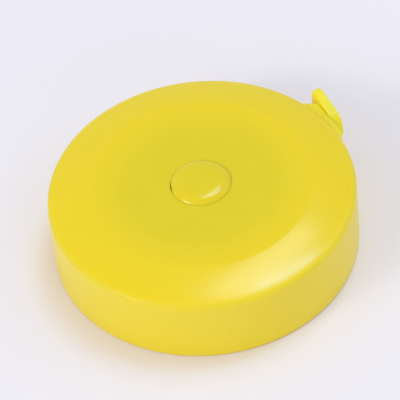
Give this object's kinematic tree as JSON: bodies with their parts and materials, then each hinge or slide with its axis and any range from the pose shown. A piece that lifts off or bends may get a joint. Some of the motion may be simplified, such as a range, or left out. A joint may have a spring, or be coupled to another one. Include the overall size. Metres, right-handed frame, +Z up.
{
  "type": "cloth tape measure",
  "caption": "Round retractable cloth tape measure: a crowned plastic case with a side mouth and finger tab, a sprung reel of tape and a central push button that frees the brake",
  "frame": {"origin": "centre of the flat underside, on the surface that the case lies on", "axes": "+Z up through the push button, +X the way the tape is pulled out"},
  "size_m": [0.0527, 0.05, 0.0146],
  "materials": {
    "case_plastic": "moulded yellow plastic with a soft gloss",
    "inner_plastic": "plain grey moulded plastic",
    "brake_rubber": "black friction rubber",
    "spring_steel": "bright spring steel",
    "tape_cloth": "coated white cloth tape with a printed scale"
  },
  "bodies": {
    "case": {"upper_shell": "case_plastic", "rear_cover": "case_plastic", "centre_post": "inner_plastic", "brake_ring": "brake_rubber", "return_spring": "spring_steel", "mainspring": "spring_steel"},
    "button": {"push_button": "case_plastic"},
    "reel": {"reel_drum": "inner_plastic", "reel_lid": "inner_plastic", "tape_roll": "tape_cloth"},
    "tape_end": {"pull_tab": "case_plastic", "end_crimp": "spring_steel", "tape_lead": "tape_cloth"}
  },
  "joints": [
    {"name": "button_press", "type": "slide", "parent": "case", "child": "button", "axis": [0, 0, -1], "range_m": [0, 0.001], "stiffness_N_per_m": 400, "springref_m": -0.004, "deforming": ["return_spring"]},
    {"name": "reel_spin", "type": "hinge", "parent": "button", "child": "reel", "pos_m": [0, 0, 0.0067], "axis": [0, 0, -1], "range_deg": [0, 5115], "deforming": ["mainspring"]},
    {"name": "tape_pull", "type": "slide", "parent": "case", "child": "tape_end", "axis": [1, 0, 0], "range_m": [0, 1.5], "deforming": ["tape_lead"]}
  ],
  "couplings": [
    {"joint": "tape_pull", "follows": "reel_spin", "m_per_rad": 0.0168}
  ]
}
